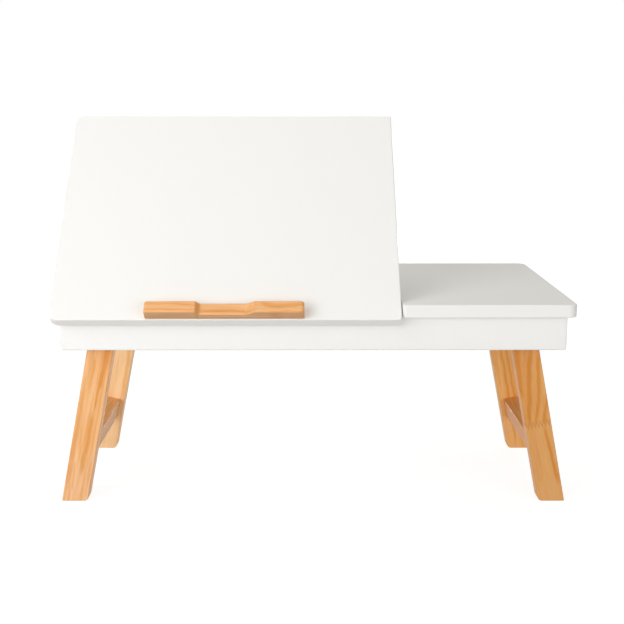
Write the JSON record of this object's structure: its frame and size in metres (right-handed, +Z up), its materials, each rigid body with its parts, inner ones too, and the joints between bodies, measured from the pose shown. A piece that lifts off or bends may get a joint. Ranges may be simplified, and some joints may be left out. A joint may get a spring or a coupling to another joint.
{
  "type": "laptop table",
  "caption": "Low white laptop table with a tilting lid on a wire stand, a fixed side panel, a pine book ledge and folding pairs of splayed pine legs.",
  "frame": {"origin": "on the floor, under the middle of the overall box at rest", "axes": "+X to the right, +Y to the back, +Z up; the front with the book ledge faces -Y"},
  "size_m": [0.6116, 0.3176, 0.4576],
  "materials": {
    "white_lacquer": "white satin lacquer on board",
    "light_pine": "clear satin varnish",
    "amber_pine": "clear satin varnish",
    "beech": "plain",
    "zinc_steel": "bright zinc plating"
  },
  "bodies": {
    "frame": {"fixed_panel": "white_lacquer", "front_apron": "white_lacquer", "rear_apron": "white_lacquer", "left_apron": "white_lacquer", "right_apron": "white_lacquer", "seam_divider": "white_lacquer", "centre_rail": "light_pine", "left_stop_rail": "light_pine", "right_stop_rail": "light_pine", "left_front_leg_block": "light_pine", "left_rear_leg_block": "light_pine", "right_front_leg_block": "light_pine", "right_rear_leg_block": "light_pine", "front_left_lower_dowel": "beech", "front_left_upper_dowel": "beech", "front_right_lower_dowel": "beech", "front_right_upper_dowel": "beech", "rear_left_lower_dowel": "beech", "rear_left_upper_dowel": "beech", "rear_right_lower_dowel": "beech", "rear_right_upper_dowel": "beech", "left_hinge_frame_leaf": "zinc_steel", "left_hinge_pin": "zinc_steel", "right_hinge_frame_leaf": "zinc_steel", "right_hinge_pin": "zinc_steel", "left_front_leg_bolt": "zinc_steel", "left_front_leg_washer": "zinc_steel", "left_front_leg_insert": "zinc_steel", "left_rear_leg_bolt": "zinc_steel", "left_rear_leg_washer": "zinc_steel", "left_rear_leg_insert": "zinc_steel", "right_front_leg_bolt": "zinc_steel", "right_front_leg_washer": "zinc_steel", "right_front_leg_insert": "zinc_steel", "right_rear_leg_bolt": "zinc_steel", "right_rear_leg_washer": "zinc_steel", "right_rear_leg_insert": "zinc_steel"},
    "lid": {"lid_panel": "white_lacquer", "book_ledge": "light_pine", "ledge_left_dowel": "beech", "ledge_right_dowel": "beech", "left_hinge_lid_leaf": "zinc_steel", "right_hinge_lid_leaf": "zinc_steel", "stand_left_clip": "zinc_steel", "stand_right_clip": "zinc_steel"},
    "stand": {"wire_stand": "zinc_steel"},
    "left_legs": {"left_front_leg": "light_pine", "left_rear_leg": "light_pine", "left_stretcher": "light_pine"},
    "right_legs": {"right_front_leg": "amber_pine", "right_rear_leg": "amber_pine", "right_stretcher": "amber_pine"}
  },
  "joints": [
    {"name": "lid_tilt", "type": "hinge", "parent": "frame", "child": "lid", "pos_m": [0, -0.12724, 0.23685], "axis": [1, 0, 0], "range_deg": [-47.6, 0]},
    {"name": "stand_fold", "type": "hinge", "parent": "lid", "child": "stand", "pos_m": [-0.1415, -0.04976, 0.31777], "axis": [1, 0, 0], "range_deg": [0, 108.4]},
    {"name": "left_legs_fold", "type": "hinge", "parent": "frame", "child": "left_legs", "pos_m": [-0.24663, 0.00876, 0.214], "axis": [0, -1, 0], "range_deg": [0, 101.5]},
    {"name": "right_legs_fold", "type": "hinge", "parent": "frame", "child": "right_legs", "pos_m": [0.24663, 0.00876, 0.214], "axis": [0, 1, 0], "range_deg": [0, 101.5]}
  ],
  "couplings": [
    {"joint": "stand_fold", "follows": "lid_tilt", "ratio": -2.2752}
  ]
}
